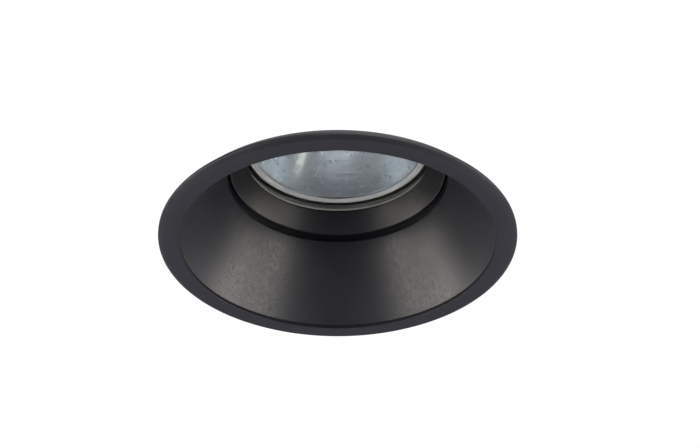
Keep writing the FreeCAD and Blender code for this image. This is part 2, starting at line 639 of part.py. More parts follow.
# cord clamp bar on the two posts
bar = box(clamp_x - 3.0, clamp_x + 3.0, -11.4, 11.4, 117.5, 119.8)
vert = [e for e in bar.Edges if abs(e.Vertexes[0].Z - e.Vertexes[1].Z) > 1]
bar = bar.makeFillet(2.2, vert)
bar = bar.fuse(box(clamp_x - 1.0, clamp_x + 1.0, -4.4, 4.4, 116.6, 117.6))
for s in (-1, 1):
    bar = bar.cut(cyl(1.45, 110, 125, clamp_x, s * clamp_y))
add("cord_clamp", one(bar.removeSplitter()))
cs = screw(2.3, 1.5, 1.1, 8.0)
add("cord_clamp_screws", Part.makeCompound([placed(cs, (clamp_x, s * clamp_y, 119.8), (0, 0, 1)) for s in (-1, 1)]))

# -------------------------------------------------------------- inner leads
lead_z = 94.0
by = 1.35


def lead(points, radii, tail_in, tail_out):
    """Insulated lead with a bare stub at each end."""
    body, length = tube(points, radii, lead_r)
    stubs = []
    for p, q, n in ((points[0], points[1], tail_in), (points[-1], points[-2], tail_out)):
        d = (V(*p) - V(*q)).normalize()
        stubs.append(Part.makeCylinder(0.6, n + 0.3, V(*p) - d * 0.3, d))
    return one(fused(body, *stubs)), length


live, l_live = lead([(lx, ly, holder_z1 + 0.05), (lx, ly, lead_z), (bush_x, by, lead_z), (bush_x, by, entry_z),
                     (-15.0, 8.0, entry_z), (blk_x0 + 0.9, 8.0, entry_z)], [5.0, 6.0, 5.2, 6.0], 1.2, 5.5)
neutral, l_neut = lead([(-lx, -ly, holder_z1 + 0.05), (-lx, -ly, lead_z), (bush_x, -by, lead_z),
                        (bush_x, -by, entry_z), (-15.0, -8.0, entry_z), (blk_x0 + 0.9, -8.0, entry_z)],
                       [5.0, 6.0, 5.2, 6.0], 1.2, 5.5)
# earth lead: out of the tag, round in the corner and up into the middle pole
e_pts = [(ex + 8.05, ey, box_floor + 1.65), (ex + 11.6, ey, box_floor + 1.65), (ex + 11.6, 4.2, 110.2),
         (ex + 9.3, 0.0, entry_z), (blk_x0 + 0.9, 0.0, entry_z)]
earth, l_earth = lead(e_pts, [2.6, 3.6, 2.6], 2.0, 6.0)
add("lead_live", live)
add("lead_neutral", neutral)
add("lead_earth", earth)
print("lead lengths live %.1f neutral %.1f earth %.1f" % (l_live, l_neut, l_earth))

# ------------------------------------------------------------ ceiling clips
# Everything here is the right-hand clip, at +X; the left one is its mirror.
# Bracket: curved plate on the can, wide above with the rivets, two ears below.
shell = cyl(can_ro + 1.0, 21.5, 46.0).cut(cyl(can_ro, 20, 50))
lower = shell.common(box(20, 50, -9.0, 9.0, 21.5, 37.0))
upper = shell.common(box(20, 50, -13.6, 13.6, 36.0, 46.0))
brk = lower.fuse(upper)
for s in (-1, 1):
    y0, y1 = sorted((s * 8.0, s * 9.0))
    ear = Part.Face(Part.makePolygon([
        V(30, y0, 21.5), V(clip_x + 1.0, y0, 23.4), V(clip_x + 1.0, y0, 30.6), V(30, y0, 37.0), V(30, y0, 21.5)
    ])).extrude(V(0, 1.0, 0)).fuse(cyl_y(3.0, y0, y1, clip_x, clip_z))
    brk = brk.fuse(ear.cut(cyl(can_ro, 10, 60)))
brk = brk.cut(cyl_y(clip_pin_r, -12, 12, clip_x, clip_z))
for s in (-1, 1):
    h = Part.makeCylinder(1.25, 20, V(25, 0, rivet_z), V(1, 0, 0))
    brk = brk.cut(turn_z(h, s * rivet_deg))
brk = one(brk.removeSplitter())
add("clip_bracket_right", brk)
add("clip_bracket_left", mirror_x(brk))

# rivets: shank through bracket and can, a low dome outside, a tail head inside
rv = fused(
    profile_face([(0, 0), (2.2, 0), (2.2, 0.9, 0.6), (0, 0.9)]).revolve(V(0, 0, 0), V(0, 0, 1), 360).Solids[0],
    cyl(1.25, -2.0, 0.0), cyl(1.9, -3.0, -2.0))
rivets = []
for base in (0.0, 180.0):
    for s in (-1, 1):
        a = math.radians(base + s * rivet_deg)
        rivets.append(placed(rv, ((can_ro + 1.0) * math.cos(a), (can_ro + 1.0) * math.sin(a), rivet_z),
                             (math.cos(a), math.sin(a), 0)))
# the tail heads seat on the can's inner face
rcut = cyl(can_ro + 1.0, 30, 50).cut(cyl(can_ri, 29, 51))
rivets = [one(r.cut(rcut.cut(turn_z(Part.makeCylinder(1.25, 20, V(25, 0, rivet_z), V(1, 0, 0)), b)))) for r, b in
          zip(rivets, (-rivet_deg, rivet_deg, 180 - rivet_deg, 180 + rivet_deg))]
add("clip_rivets", Part.makeCompound(rivets))

pin = fused(cyl_y(clip_pin_r, -9.0, 9.0, clip_x, clip_z), cyl_y(2.3, -10.0, -9.0, clip_x, clip_z),
            cyl_y(2.3, 9.0, 10.0, clip_x, clip_z))
add("clip_pins", Part.makeCompound([pin, mirror_x(pin)]))

# arm, built level along +X from the pivot, then turned down to its rest angle
av0, av1 = 2.9, 3.6
arm = box(-0.8, clip_len, -7.0, 7.0, av0, av1)
vert = [e for e in arm.Edges if abs(e.Vertexes[0].Z - e.Vertexes[1].Z) > 0.5 and e.Vertexes[0].X > 10]
arm = arm.makeFillet(3.0, vert)
for s in (-1, 1):
    y0, y1 = sorted((s * 6.2, s * 7.0))
    ear = box(-0.8, 3.2, y0, y1, 0, av1).fuse(cyl_y(2.6, y0, y1, 0, 0))
    # stiffening rib that runs down the arm's edge
    rib = Part.Face(Part.makePolygon([
        V(3.0, y0, 0.4), V(24.0, y0, 2.2), V(24.0, y0, av1), V(3.0, y0, av1), V(3.0, y0, 0.4)
    ])).extrude(V(0, 0.8, 0))
    arm = arm.fuse(ear).fuse(rib)
arm = arm.cut(cyl_y(clip_pin_r + 0.05, -12, 12, 0, 0))
arm = arm.cut(box(-3.0, 16.0, -6.2, -3.4, 2.0, 5.0))      # slot for the fixed spring leg
arm = one(arm.removeSplitter())
pad = box(27.5, clip_len, -6.4, 6.4, av0 - 2.5, av0)
pe = [e for e in pad.Edges if e.BoundBox.ZMax < av0 - 2.4]
pad = pad.makeFillet(0.8, pe)
for i in range(3):         # grip grooves under the pad
    pad = pad.cut(box(29.6 + 2.4 * i, 30.5 + 2.4 * i, -8, 8, av0 - 3.0, av0 - 1.9))
pad = one(pad)
# moving spring leg: its own last turn round the pin, then along the arm
leg_y = 4.6
ring_arc = Part.Arc(V(0, leg_y, coil_r), V(-coil_r, leg_y, 0), V(coil_r * math.sin(math.radians(150)), leg_y, coil_r * math.cos(math.radians(150))))
lw = Part.Wire([Part.LineSegment(V(18.0, leg_y, coil_r), V(0, leg_y, coil_r)).toShape(), ring_arc.toShape()])
disc = Part.Wire([Part.makeCircle(wire_r, V(18.0, leg_y, coil_r), V(1, 0, 0))])
leg = lw.makePipeShell([disc], True, True)
leg = leg if leg.ShapeType == "Solid" else leg.Solids[0]


def to_clip(shape):
    s = shape.copy()
    s.rotate(V(0, 0, 0), V(0, 1, 0), -clip_rest_deg)
    s.translate(V(clip_x, 0, clip_z))
    return s


for name, s in (("clip_arm", arm), ("clip_pad", pad), ("clip_spring_leg", leg)):
    r = to_clip(s)
    add(name + "_right", r)
    add(name + "_left", mirror_x(r))

# coil with its fixed leg, which leans on the bracket plate
pitch, turns = 1.02, 7.0
coil_y0 = -4.5
h = Part.makeHelix(pitch, pitch * turns, coil_r, 0, True)
h.rotate(V(0, 0, 0), V(1, 0, 0), -90)          # helix axis now along +Y
h.rotate(V(0, 0, 0), V(0, 1, 0), 180)          # starts at -X of the pin, going down
h.translate(V(clip_x, coil_y0, clip_z))
c_start = V(clip_x - coil_r, coil_y0, clip_z)
fall = pitch / (2 * math.pi * coil_r)          # sideways travel per unit run
top_pt = V(can_ro + 1.0 + wire_r + 0.03, coil_y0 - fall * 12.4, clip_z + 12.4)
knee_pt = V(clip_x - coil_r, coil_y0 - fall * 6.2, clip_z + 6.2)
leg_w, _ = route([tuple(top_pt), tuple(knee_pt), tuple(c_start)], [9.0])
c1 = Part.Wire([Part.makeCircle(wire_r, top_pt, knee_pt - top_pt)])
coil = Part.Wire(leg_w.Edges + h.Edges).makePipeShell([c1], True, False)
coil = one(coil)
print("clip spring volume / ideal %.4f" % (coil.Volume / (math.pi * wire_r ** 2 * (
    leg_w.Length + turns * math.hypot(2 * math.pi * coil_r, pitch)))))
add("clip_spring_right", coil)
add("clip_spring_left", mirror_x(coil))

# ------------------------------------------------------------------- export
for name in sorted(parts):
    parts[name].exportStep("parts/%s.step" % name)
allb = FreeCAD.BoundBox()
for s in parts.values():
    allb.add(s.BoundBox)
print("nodes", len(parts), "box x %.2f..%.2f y %.2f..%.2f z %.2f..%.2f" % (
    allb.XMin, allb.XMax, allb.YMin, allb.YMax, allb.ZMin, allb.ZMax))
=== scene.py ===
import math
import random

import bmesh
import bpy
from mathutils import Matrix, Vector


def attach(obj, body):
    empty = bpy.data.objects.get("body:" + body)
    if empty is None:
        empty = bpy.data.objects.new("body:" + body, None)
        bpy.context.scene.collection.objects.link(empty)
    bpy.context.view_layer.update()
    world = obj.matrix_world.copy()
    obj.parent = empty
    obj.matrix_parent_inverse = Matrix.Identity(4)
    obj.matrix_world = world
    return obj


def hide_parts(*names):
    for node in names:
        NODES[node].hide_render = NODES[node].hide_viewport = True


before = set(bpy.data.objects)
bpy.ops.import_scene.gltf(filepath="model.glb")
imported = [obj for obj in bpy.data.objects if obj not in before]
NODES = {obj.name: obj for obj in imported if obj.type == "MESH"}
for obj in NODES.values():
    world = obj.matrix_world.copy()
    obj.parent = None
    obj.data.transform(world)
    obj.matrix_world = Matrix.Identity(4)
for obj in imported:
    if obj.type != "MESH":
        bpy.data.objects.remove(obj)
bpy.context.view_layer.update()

MM = 0.001
SCENE = bpy.context.scene
random.seed(11)


# ------------------------------------------------------------------ camera
# Pinhole fitted to the flange's outline: 34 degrees below the ceiling.
PHI = math.radians(34.172)
DIST = 0.39033
cam_data = bpy.data.cameras.new("camera")
cam_data.sensor_width = 36.0
cam_data.lens = 36.0 * 1466.1 / 700.0
cam_data.shift_x = (349.5 - 337.15) / 700.0
cam_data.shift_y = (239.5 - 223.5) / 700.0
cam_data.clip_start = 0.01
cam_data.clip_end = 100.0
cam = bpy.data.objects.new("camera", cam_data)
cam.location = (0.0, -DIST * math.cos(PHI), -DIST * math.sin(PHI) - 0.00169)
cam.rotation_euler = (math.pi / 2 + PHI, 0.0, 0.0)
SCENE.collection.objects.link(cam)
SCENE.camera = cam


# ------------------------------------------------------------- node helpers
class Mat:
    """A principled material with small tools for its noise, bump and colour."""

    def __init__(self, name, color, rough=0.5, metal=0.0, spec=0.5, ior=1.5):
        self.m = bpy.data.materials.new(name)
        self.m.use_nodes = True
        self.nt = self.m.node_tree
        self.nt.nodes.clear()
        self.out = self.node("ShaderNodeOutputMaterial")
        self.b = self.node("ShaderNodeBsdfPrincipled")
        self.link(self.b.outputs[0], self.out.inputs["Surface"])
        self.b.inputs["Base Color"].default_value = (*color, 1.0)
        self.b.inputs["Roughness"].default_value = rough
        self.b.inputs["Metallic"].default_value = metal
        self.b.inputs["Specular IOR Level"].default_value = spec
        self.b.inputs["IOR"].default_value = ior
        self.m.diffuse_color = (*color, 1.0)
        self.color, self.rough = color, rough
        self.coord = None
        self.last_bump = None

    def node(self, kind, **values):
        n = self.nt.nodes.new(kind)
        for k, v in values.items():
            setattr(n, k, v)
        return n

    def link(self, a, b):
        self.nt.links.new(a, b)

    def pos(self):
        """The point in the part's own frame, in metres."""
        if self.coord is None:
            self.coord = self.node("ShaderNodeTexCoord")
        return self.coord.outputs["Object"]

    def scaled(self, vec, s):
        m = self.node("ShaderNodeMapping")
        m.inputs["Scale"].default_value = s
        self.link(vec, m.inputs["Vector"])
        return m.outputs["Vector"]

    def ringwise(self):
        """(radius, height, 0): lines of a turned part follow it."""
        sep = self.node("ShaderNodeSeparateXYZ")
        self.link(self.pos(), sep.inputs[0])
        flat = self.node("ShaderNodeCombineXYZ")
        self.link(sep.outputs[0], flat.inputs[0])
        self.link(sep.outputs[1], flat.inputs[1])
        ln = self.node("ShaderNodeVectorMath", operation="LENGTH")
        self.link(flat.outputs[0], ln.inputs[0])
        c = self.node("ShaderNodeCombineXYZ")
        self.link(ln.outputs["Value"], c.inputs[0])
        self.link(sep.outputs[2], c.inputs[1])
        return c.outputs[0]

    def noise(self, scale, detail=2.0, rough=0.5, vec=None, distort=0.0):
        n = self.node("ShaderNodeTexNoise")
        n.inputs["Scale"].default_value = scale
        n.inputs["Detail"].default_value = detail
        n.inputs["Roughness"].default_value = rough
        n.inputs["Distortion"].default_value = distort
        self.link(vec if vec is not None else self.pos(), n.inputs["Vector"])
        return n.outputs["Fac"]

    def ranged(self, fac, lo, hi, a=0.3, b=0.7):
        r = self.node("ShaderNodeMapRange")
        r.inputs["From Min"].default_value = a
        r.inputs["From Max"].default_value = b
        r.inputs["To Min"].default_value = lo
        r.inputs["To Max"].default_value = hi
        self.link(fac, r.inputs["Value"])
        return r.outputs["Result"]

    def tint(self, fac, c0, c1, a=0.3, b=0.7):
        r = self.node("ShaderNodeValToRGB")
        e = r.color_ramp.elements
        e[0].position, e[1].position = a, b
        e[0].color, e[1].color = (*c0, 1.0), (*c1, 1.0)
        self.link(fac, r.inputs["Fac"])
        return r.outputs["Color"]

    def vary(self, fac, amount):
        """Base colour, a little darker and lighter with fac."""
        c0 = tuple(max(0.0, c * (1 - amount)) for c in self.color)
        c1 = tuple(min(1.0, c * (1 + amount)) for c in self.color)
        self.link(self.tint(fac, c0, c1), self.b.inputs["Base Color"])
        return self

    def vary_rough(self, fac, lo, hi):
        self.link(self.ranged(fac, lo, hi), self.b.inputs["Roughness"])
        return self

    def bump(self, fac, strength, distance):
        n = self.node("ShaderNodeBump")
        n.inputs["Strength"].default_value = strength
        n.inputs["Distance"].default_value = distance
        self.link(fac, n.inputs["Height"])
        if self.last_bump is not None:
            self.link(self.last_bump, n.inputs["Normal"])
        self.last_bump = n.outputs["Normal"]
        for slot in ("Normal", "Coat Normal"):
            if slot in self.b.inputs:
                self.link(self.last_bump, self.b.inputs[slot])
        return self


# ------------------------------------------------------------------ meshes
def filleted(pts, seg=5, closed=True):
    """(r, z) points in mm from (r, z, rounding) corners, arcs in seg steps."""
    n = len(pts)
    out = []
    for i, p in enumerate(pts):
        rad = p[2] if len(p) > 2 else 0.0
        if rad <= 0 or (not closed and i in (0, n - 1)):
            out.append((p[0], p[1]))
            continue
        P = Vector((p[0], p[1]))
        a, b = Vector(pts[i - 1][:2]), Vector(pts[(i + 1) % n][:2])
        ua, ub = (a - P).normalized(), (b - P).normalized()
        half = math.acos(max(-1.0, min(1.0, ua.dot(ub)))) / 2
        t = rad / math.tan(half)
        C = P + (ua + ub).normalized() * (rad / math.sin(half))
        T1, T2 = P + ua * t - C, P + ub * t - C
        a1, a2 = math.atan2(T1.y, T1.x), math.atan2(T2.y, T2.x)
        d = (a2 - a1 + math.pi) % (2 * math.pi) - math.pi
        for k in range(seg + 1):
            w = a1 + d * k / seg
            out.append((C.x + rad * math.cos(w), C.y + rad * math.sin(w)))
    return out


def split_long(pts, step, closed=True):
    """Extra points along long straight stretches, so that faces stay small."""
    out = []
    n = len(pts)
    for i in range(n if closed else n - 1):
        a, b = pts[i], pts[(i + 1) % n]
        out.append(a)
        d = math.hypot(b[0] - a[0], b[1] - a[1])
        k = max(1, int(d / step))
        for j in range(1, k):
            out.append((a[0] + (b[0] - a[0]) * j / k, a[1] + (b[1] - a[1]) * j / k))
    if not closed:
        out.append(pts[-1])
    return out


def from_bm(name, bm, mat, smooth_deg=32.0):
    bmesh.ops.recalc_face_normals(bm, faces=bm.faces)
    lim = math.radians(smooth_deg)
    for f in bm.faces:
        f.smooth = True
    for e in bm.edges:
        if len(e.link_faces) == 2:
            e.smooth = e.calc_face_angle(0.0) < lim
    me = bpy.data.meshes.new(name)
    bm.to_mesh(me)
    bm.free()
    o = bpy.data.objects.new(name, me)
    SCENE.collection.objects.link(o)
    if mat is not None:
        me.materials.append(mat)
    return o


def lathe_bm(pts, segs=192, closed=True):
    """Turned surface of (r, z) points in mm. Points at r = 0 become poles."""
    bm = bmesh.new()
    rings = []
    for r, z in pts:
        if r < 1e-6:
            rings.append([bm.verts.new((0, 0, z * MM))])
        else:
            rings.append([bm.verts.new((r * MM * math.cos(2 * math.pi * k / segs),
                                        r * MM * math.sin(2 * math.pi * k / segs), z * MM)) for k in range(segs)])
    n = len(rings)
    for i in range(n if closed else n - 1):
        A, B = rings[i], rings[(i + 1) % n]
        if len(A) == 1 and len(B) == 1:
            continue
        for k in range(segs):
            k2 = (k + 1) % segs
            vs = []
            for v in (A[k % len(A)], A[k2 % len(A)], B[k2 % len(B)], B[k % len(B)]):
                if v not in vs:
                    vs.append(v)
            if len(vs) >= 3:
                bm.faces.new(vs)
    return bm


def lathe(name, pts, mat, segs=192, seg=5, step=6.0, closed=True, smooth_deg=32.0):
    p = split_long(filleted(pts, seg, closed), step, closed)
    return from_bm(name, lathe_bm(p, segs, closed), mat, smooth_deg)


def stands_for(obj, body, *nodes, slot=None):
    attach(obj, body)
    if nodes:
        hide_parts(*nodes)
    return obj


def adopt(node, name, mat, body, width=0.25, segments=2, angle=30.0, slot=None, smooth_deg=35.0):
    """A finished copy of a CAD node: welded, with real rounded edges."""
    src = NODES[node]
    bm = bmesh.new()
    bm.from_mesh(src.data)
    bmesh.ops.remove_doubles(bm, verts=bm.verts, dist=2e-6)
    bmesh.ops.dissolve_limit(bm, angle_limit=math.radians(0.6), verts=bm.verts, edges=bm.edges)
    o = from_bm(name, bm, mat, smooth_deg)
    if width > 0:
        mod = o.modifiers.new("edges", "BEVEL")
        mod.width = width * MM
        mod.segments = segments
        mod.limit_method = "ANGLE"
        mod.angle_limit = math.radians(angle)
        mod.use_clamp_overlap = True
        mod.miter_outer = "MITER_ARC"
        mod.harden_normals = False
        dg = bpy.context.evaluated_depsgraph_get()
        me = bpy.data.meshes.new_from_object(o.evaluated_get(dg))
        o.modifiers.clear()
        old = o.data
        o.data = me
        bpy.data.meshes.remove(old)
        bm = bmesh.new()
        bm.from_mesh(me)
        lim = math.radians(smooth_deg)
        for f in bm.faces:
            f.smooth = True
        for e in bm.edges:
            if len(e.link_faces) == 2:
                e.smooth = e.calc_face_angle(0.0) < lim
        bm.to_mesh(me)
        bm.free()
    return stands_for(o, body, node, slot=slot)


def paint(mat, *names):
    """Gives CAD nodes that are shown as they are a finish."""
    for n in names:
        o = NODES[n]
        o.data.materials.clear()
        o.data.materials.append(mat)


# --------------------------------------------------------------- materials
def powder(name, base, rough, grain=2600.0):
    m = Mat(name, base, rough, spec=0.5)
    m.vary(m.noise(140.0, 3.0), 0.10)
    m.vary_rough(m.noise(900.0, 3.0, 0.6), rough - 0.05, rough + 0.05)
    m.bump(m.noise(grain, 2.0, 0.55), 0.22, 0.00006)
    m.bump(m.noise(320.0, 2.0), 0.10, 0.00010)
    return m.m


M_TRIM = powder("trim_powder_coat", (0.0160, 0.0158, 0.0205), 0.40)
M_RING = powder("ring_powder_coat", (0.0158, 0.0158, 0.0165), 0.40)


def foam():
    m = Mat("seal_foam", (0.030, 0.030, 0.032), 0.9, spec=0.3)
    v = m.node("ShaderNodeTexVoronoi")
    v.inputs["Scale"].default_value = 1800.0
    m.link(m.pos(), v.inputs["Vector"])
    m.link(m.tint(v.outputs["Distance"], (0.018, 0.018, 0.02), (0.05, 0.05, 0.053), 0.1, 0.6), m.b.inputs["Base Color"])
    m.bump(v.outputs["Distance"], 0.7, 0.00025)
    return m.m


def rubber(name, base, rough=0.62, grain=1800.0, amount=0.12):
    m = Mat(name, base, rough, spec=0.4)
    m.vary(m.noise(220.0, 3.0), amount)
    m.vary_rough(m.noise(700.0, 2.0), rough - 0.08, rough + 0.1)
    m.bump(m.noise(grain, 3.0, 0.6), 0.25, 0.00008)
    return m.m


def metal(name, base, rough, grain=900.0, spread=0.08, streak=(1, 1, 1), bump=0.08, dirt=0.06):
    m = Mat(name, base, rough, metal=1.0)
    vec = m.scaled(m.pos(), streak)
    f = m.noise(grain, 3.0, 0.6, vec)
    big = m.noise(60.0, 4.0, 0.6)
    m.vary(big, dirt)
    m.vary_rough(f, rough - spread, rough + spread)
    m.bump(f, bump, 0.00005)
    return m.m


def turned_metal(name, base, rough, lines=2600.0, bump=0.16, dirt=0.05):
    """Spun or turned metal: fine rings round the axis, soft blotches."""
    m = Mat(name, base, rough, metal=1.0)
    vec = m.ringwise()
    f = m.noise(lines, 3.0, 0.65, vec)
    broad = m.noise(180.0, 2.0, 0.5, vec)
    blot = m.noise(38.0, 4.0, 0.55)
    m.vary(blot, dirt)
    add = m.node("ShaderNodeMath", operation="ADD")
    m.link(m.ranged(f, -0.07, 0.07), add.inputs[0])
    m.link(m.ranged(blot, rough - 0.05, rough + 0.06), add.inputs[1])
    m.link(add.outputs[0], m.b.inputs["Roughness"])
    m.bump(f, bump, 0.00004)
    m.bump(broad, 0.05, 0.00012)
    m.b.inputs["Anisotropic"].default_value = 0.35
    return m.m


def moulded(name, base, rough=0.48, spark=2400.0, bump=0.22, spec=0.5):
    m = Mat(name, base, rough, spec=spec)
    m.vary(m.noise(90.0, 3.0), 0.08)
    m.vary_rough(m.noise(1200.0, 2.0), rough - 0.05, rough + 0.07)
    m.bump(m.noise(spark, 3.0, 0.7), bump, 0.00007)
    m.bump(m.noise(45.0, 2.0), 0.06, 0.0003)
    return m.m


def ceramic(name, base, rough=0.45):
    m = Mat(name, base, rough, spec=0.5)
    v = m.noise(1500.0, 2.0, 0.6)
    m.link(m.tint(v, tuple(c * 0.86 for c in base), base, 0.26, 0.42), m.b.inputs["Base Color"])
    m.vary_rough(m.noise(400.0, 2.0), rough - 0.06, rough + 0.08)
    m.bump(m.noise(1000.0, 3.0), 0.18, 0.00008)
    m.b.inputs["Subsurface Weight"].default_value = 0.0
    return m.m


def clear(name, ior=1.5, tint=(1.0, 1.0, 1.0), rough=0.0):
    m = Mat(name, tint, rough, ior=ior)
    m.b.inputs["Transmission Weight"].default_value = 1.0
    return m


M_FOAM = foam()
M_PAD = rubber("pad_rubber", (0.035, 0.035, 0.038), 0.68)
M_ORING = rubber("oring_rubber", (0.02, 0.02, 0.02), 0.4)
M_SILICONE = rubber("gasket_silicone", (0.30, 0.31, 0.32), 0.5, 900.0, 0.06)
M_BUSH = rubber("bush_rubber", (0.028, 0.028, 0.030), 0.55)
M_CAN = turned_metal("can_spun_aluminium", (0.80, 0.81, 0.82), 0.34)
M_ZINC = metal("zinc_plate", (0.66, 0.67, 0.70), 0.32, 1400.0, 0.09, (1, 1, 1), 0.10, 0.09)
M_STEEL = metal("spring_steel", (0.52, 0.53, 0.55), 0.24, 1200.0, 0.06, (1, 1, 1), 0.05, 0.08)
M_SCREW = metal("screw_zinc", (0.70, 0.70, 0.71), 0.28, 1600.0, 0.07, (1, 1, 1), 0.08, 0.07)
M_ALRIVET = metal("rivet_aluminium", (0.78, 0.79, 0.80), 0.38, 1200.0, 0.07, (1, 1, 1), 0.08, 0.05)
M_BRASS = metal("brass", (0.80, 0.60, 0.28), 0.26, 1400.0, 0.07, (1, 1, 1), 0.06, 0.10)
M_NICKEL = metal("pin_nickel", (0.74, 0.72, 0.68), 0.22, 1400.0, 0.05, (1, 1, 1), 0.04, 0.06)
M_TUNGSTEN = metal("tungsten", (0.40, 0.39, 0.38), 0.35, 1400.0, 0.05)
M_BOX = moulded("box_plastic", (0.052, 0.053, 0.056), 0.46)
M_BLOCK = moulded("block_plastic", (0.72, 0.72, 0.69), 0.42, 1600.0, 0.12)
M_CERAMIC = ceramic("holder_steatite", (0.80, 0.79, 0.75))
M_LAMP_CERAMIC = ceramic("lamp_ceramic", (0.84, 0.83, 0.80), 0.40)
M_BROWN = rubber("lead_brown", (0.16, 0.062, 0.028), 0.45, 1500.0, 0.08)
M_BLUE = rubber("lead_blue", (0.035, 0.10, 0.33), 0.45, 1500.0, 0.08)


def stripes():
    m = Mat("lead_green_yellow", (0.1, 0.3, 0.05), 0.45, spec=0.4)
    g = m.node("ShaderNodeNewGeometry")
    dot = m.node("ShaderNodeVectorMath", operation="DOT_PRODUCT")
    dot.inputs[1].default_value = (0.62, 0.48, 0.62)
    m.link(g.outputs["Normal"], dot.inputs[0])
    ab = m.node("ShaderNodeMath", operation="ABSOLUTE")
    m.link(dot.outputs["Value"], ab.inputs[0])
    m.link(m.tint(ab.outputs[0], (0.62, 0.52, 0.02), (0.03, 0.22, 0.035), 0.40, 0.46), m.b.inputs["Base Color"])
    m.bump(m.noise(1500.0, 2.0), 0.2, 0.00006)
    return m.m


M_EARTH = stripes()

# lens: clear glass; a faint waviness keeps its reflections from looking ruled
g = clear("lens_glass", 1.50, (0.985, 0.995, 0.990))
g.bump(g.noise(26.0, 1.0), 0.05, 0.0002)
M_GLASS = g.m
g = clear("lamp_cover_glass", 1.47, (0.985, 0.99, 0.995))
g.bump(g.noise(60.0, 1.0), 0.06, 0.0002)
M_COVER = g.m
M_QUARTZ = clear("quartz", 1.46, (0.99, 0.99, 1.0)).m


def ground():
    """Fine-ground glass of the lens's bevel: white and softly scattering."""
    m = Mat("lens_ground_bevel", (0.74, 0.75, 0.73), 0.42, spec=0.6)
    m.vary(m.noise(300.0, 3.0), 0.08)
    m.vary_rough(m.noise(1500.0, 2.0), 0.36, 0.50)
    m.bump(m.noise(2600.0, 2.0), 0.15, 0.00004)
    return m.m


M_GROUND = ground()


def dichroic():
    """Cool mirror coat: pale blue-grey, warmer where it thins towards the rim."""
    m = Mat("reflector_dichroic", (0.66, 0.70, 0.73), 0.26, metal=1.0)
    sep = m.node("ShaderNodeSeparateXYZ")
    m.link(m.pos(), sep.inputs[0])
    h = m.ranged(sep.outputs[2], 0.0, 1.0, 0.031, 0.055)
    m.link(m.tint(h, (0.68, 0.72, 0.73), (0.62, 0.67, 0.72), 0.0, 1.0), m.b.inputs["Base Color"])
    m.vary_rough(m.noise(500.0, 2.0), 0.24, 0.28)
    m.bump(m.noise(900.0, 2.0), 0.05, 0.00005)
    return m.m


M_DICHROIC = dichroic()


def rim_glass():
    """Pressed glass rim of the lamp: milky, with a satin face."""
    m = Mat("lamp_rim_glass", (0.62, 0.63, 0.62), 0.30, spec=0.6)
    m.vary(m.noise(240.0, 3.0), 0.06)
    m.vary_rough(m.noise(1200.0, 2.0), 0.24, 0.38)
    m.bump(m.noise(1500.0, 2.0), 0.10, 0.00005)
    return m.m


M_RIM = rim_glass()

# ----------------------------------------------------------- trim and ring
FLANGE_T, MOUTH_R, LAND = 4.12, 41.90, 1.11
CONE_R_TOP, CONE_Z, LEDGE = 30.03, 18.50, 18.65
z_m = -FLANGE_T + LAND
k_c = (MOUTH_R - CONE_R_TOP) / (CONE_Z - z_m)


def cone_r(z):
    return MOUTH_R - (z - z_m) * k_c


wall = 1.6 * math.sqrt(1 + k_c * k_c)
z_neck = z_m + (MOUTH_R + wall - 33.0) / k_c
trim = lathe("trim", [
    (MOUTH_R, -FLANGE_T, 0.14), (MOUTH_R, z_m, 0.25), (cone_r(LEDGE), LEDGE, 0.45), (31.4, LEDGE), (31.4, 20.55),
    (30.2, 20.55), (30.2, 30.8), (26.75, 30.8), (26.75, 32.3, 0.3), (33.0, 32.3, 0.4), (33.0, 30.0), (32.0, 30.0),
    (32.0, 28.4), (33.0, 28.4), (33.0, z_neck, 2.0), (cone_r(4.5) + wall, 4.5, 1.0), (42.4, 4.5, 0.15),
    (42.9, 4.0, 0.15), (42.9, 0.0), (43.6, 0.0, 0.1), (43.6, -0.9), (44.5, -0.9), (44.5, 0.0, 0.05),
    (44.9, 0.0, 0.12), (47.5, -2.77, 0.35), (47.5, -3.43, 0.25), (46.42, -FLANGE_T, 0.9)], M_TRIM, 320, 8, 3.0)
stands_for(trim, "root", "trim_casting", slot="trim_black")

seal = lathe("ceiling_foam_seal", [(43.6, -0.9), (44.5, -0.9), (44.5, 0.0, 0.2), (43.6, 0.0, 0.2)], M_FOAM, 256)
stands_for(seal, "root", "ceiling_seal", slot="seal_foam")

ring = lathe("lens_ring_piece", [
    (29.10, 19.95, 0.40), (25.30, 25.20, 0.18), (25.30, 25.65, 0.12), (27.30, 25.65), (27.30, 28.30), (28.45, 28.30),
    (28.45, 29.30, 0.1), (29.95, 29.30, 0.2), (29.95, 21.15, 0.5), (29.55, 19.95, 0.15)], M_RING, 320, 8, 3.0)
stands_for(ring, "lens_ring", "lens_ring", slot="ring_black")

# stepped lens: shallow ground bevel, fire-polished corners
lens = lathe("lens", [
    (0, 26.85), (26.05, 26.85), (27.05, 27.02, 0.05), (27.05, 28.30), (28.30, 28.30, 0.15), (28.30, 29.70, 0.25),
    (0, 29.70)], M_GLASS, 320, 5, 8.0, closed=False)
lens.data.materials.append(M_GROUND)
for poly in lens.data.polygons:
    if 0.02686 < poly.center.z < 0.02703 and math.hypot(poly.center.x, poly.center.y) > 0.0260:
        poly.material_index = 1
stands_for(lens, "lens_ring", "front_lens", slot="lens_glass")

gasket = lathe("lens_gasket_piece", [(26.9, 29.7), (28.3, 29.7), (28.3, 30.8, 0.1), (26.9, 30.8, 0.2)], M_SILICONE, 192)
stands_for(gasket, "root", "lens_gasket", slot="silicone")

# -------------------------------------------------------------------- lamp
FOCAL, VERTEX = 5.5, 56.9


def refl_in(z):
    return math.sqrt(max(0.0, 4 * FOCAL * (VERTEX - z)))


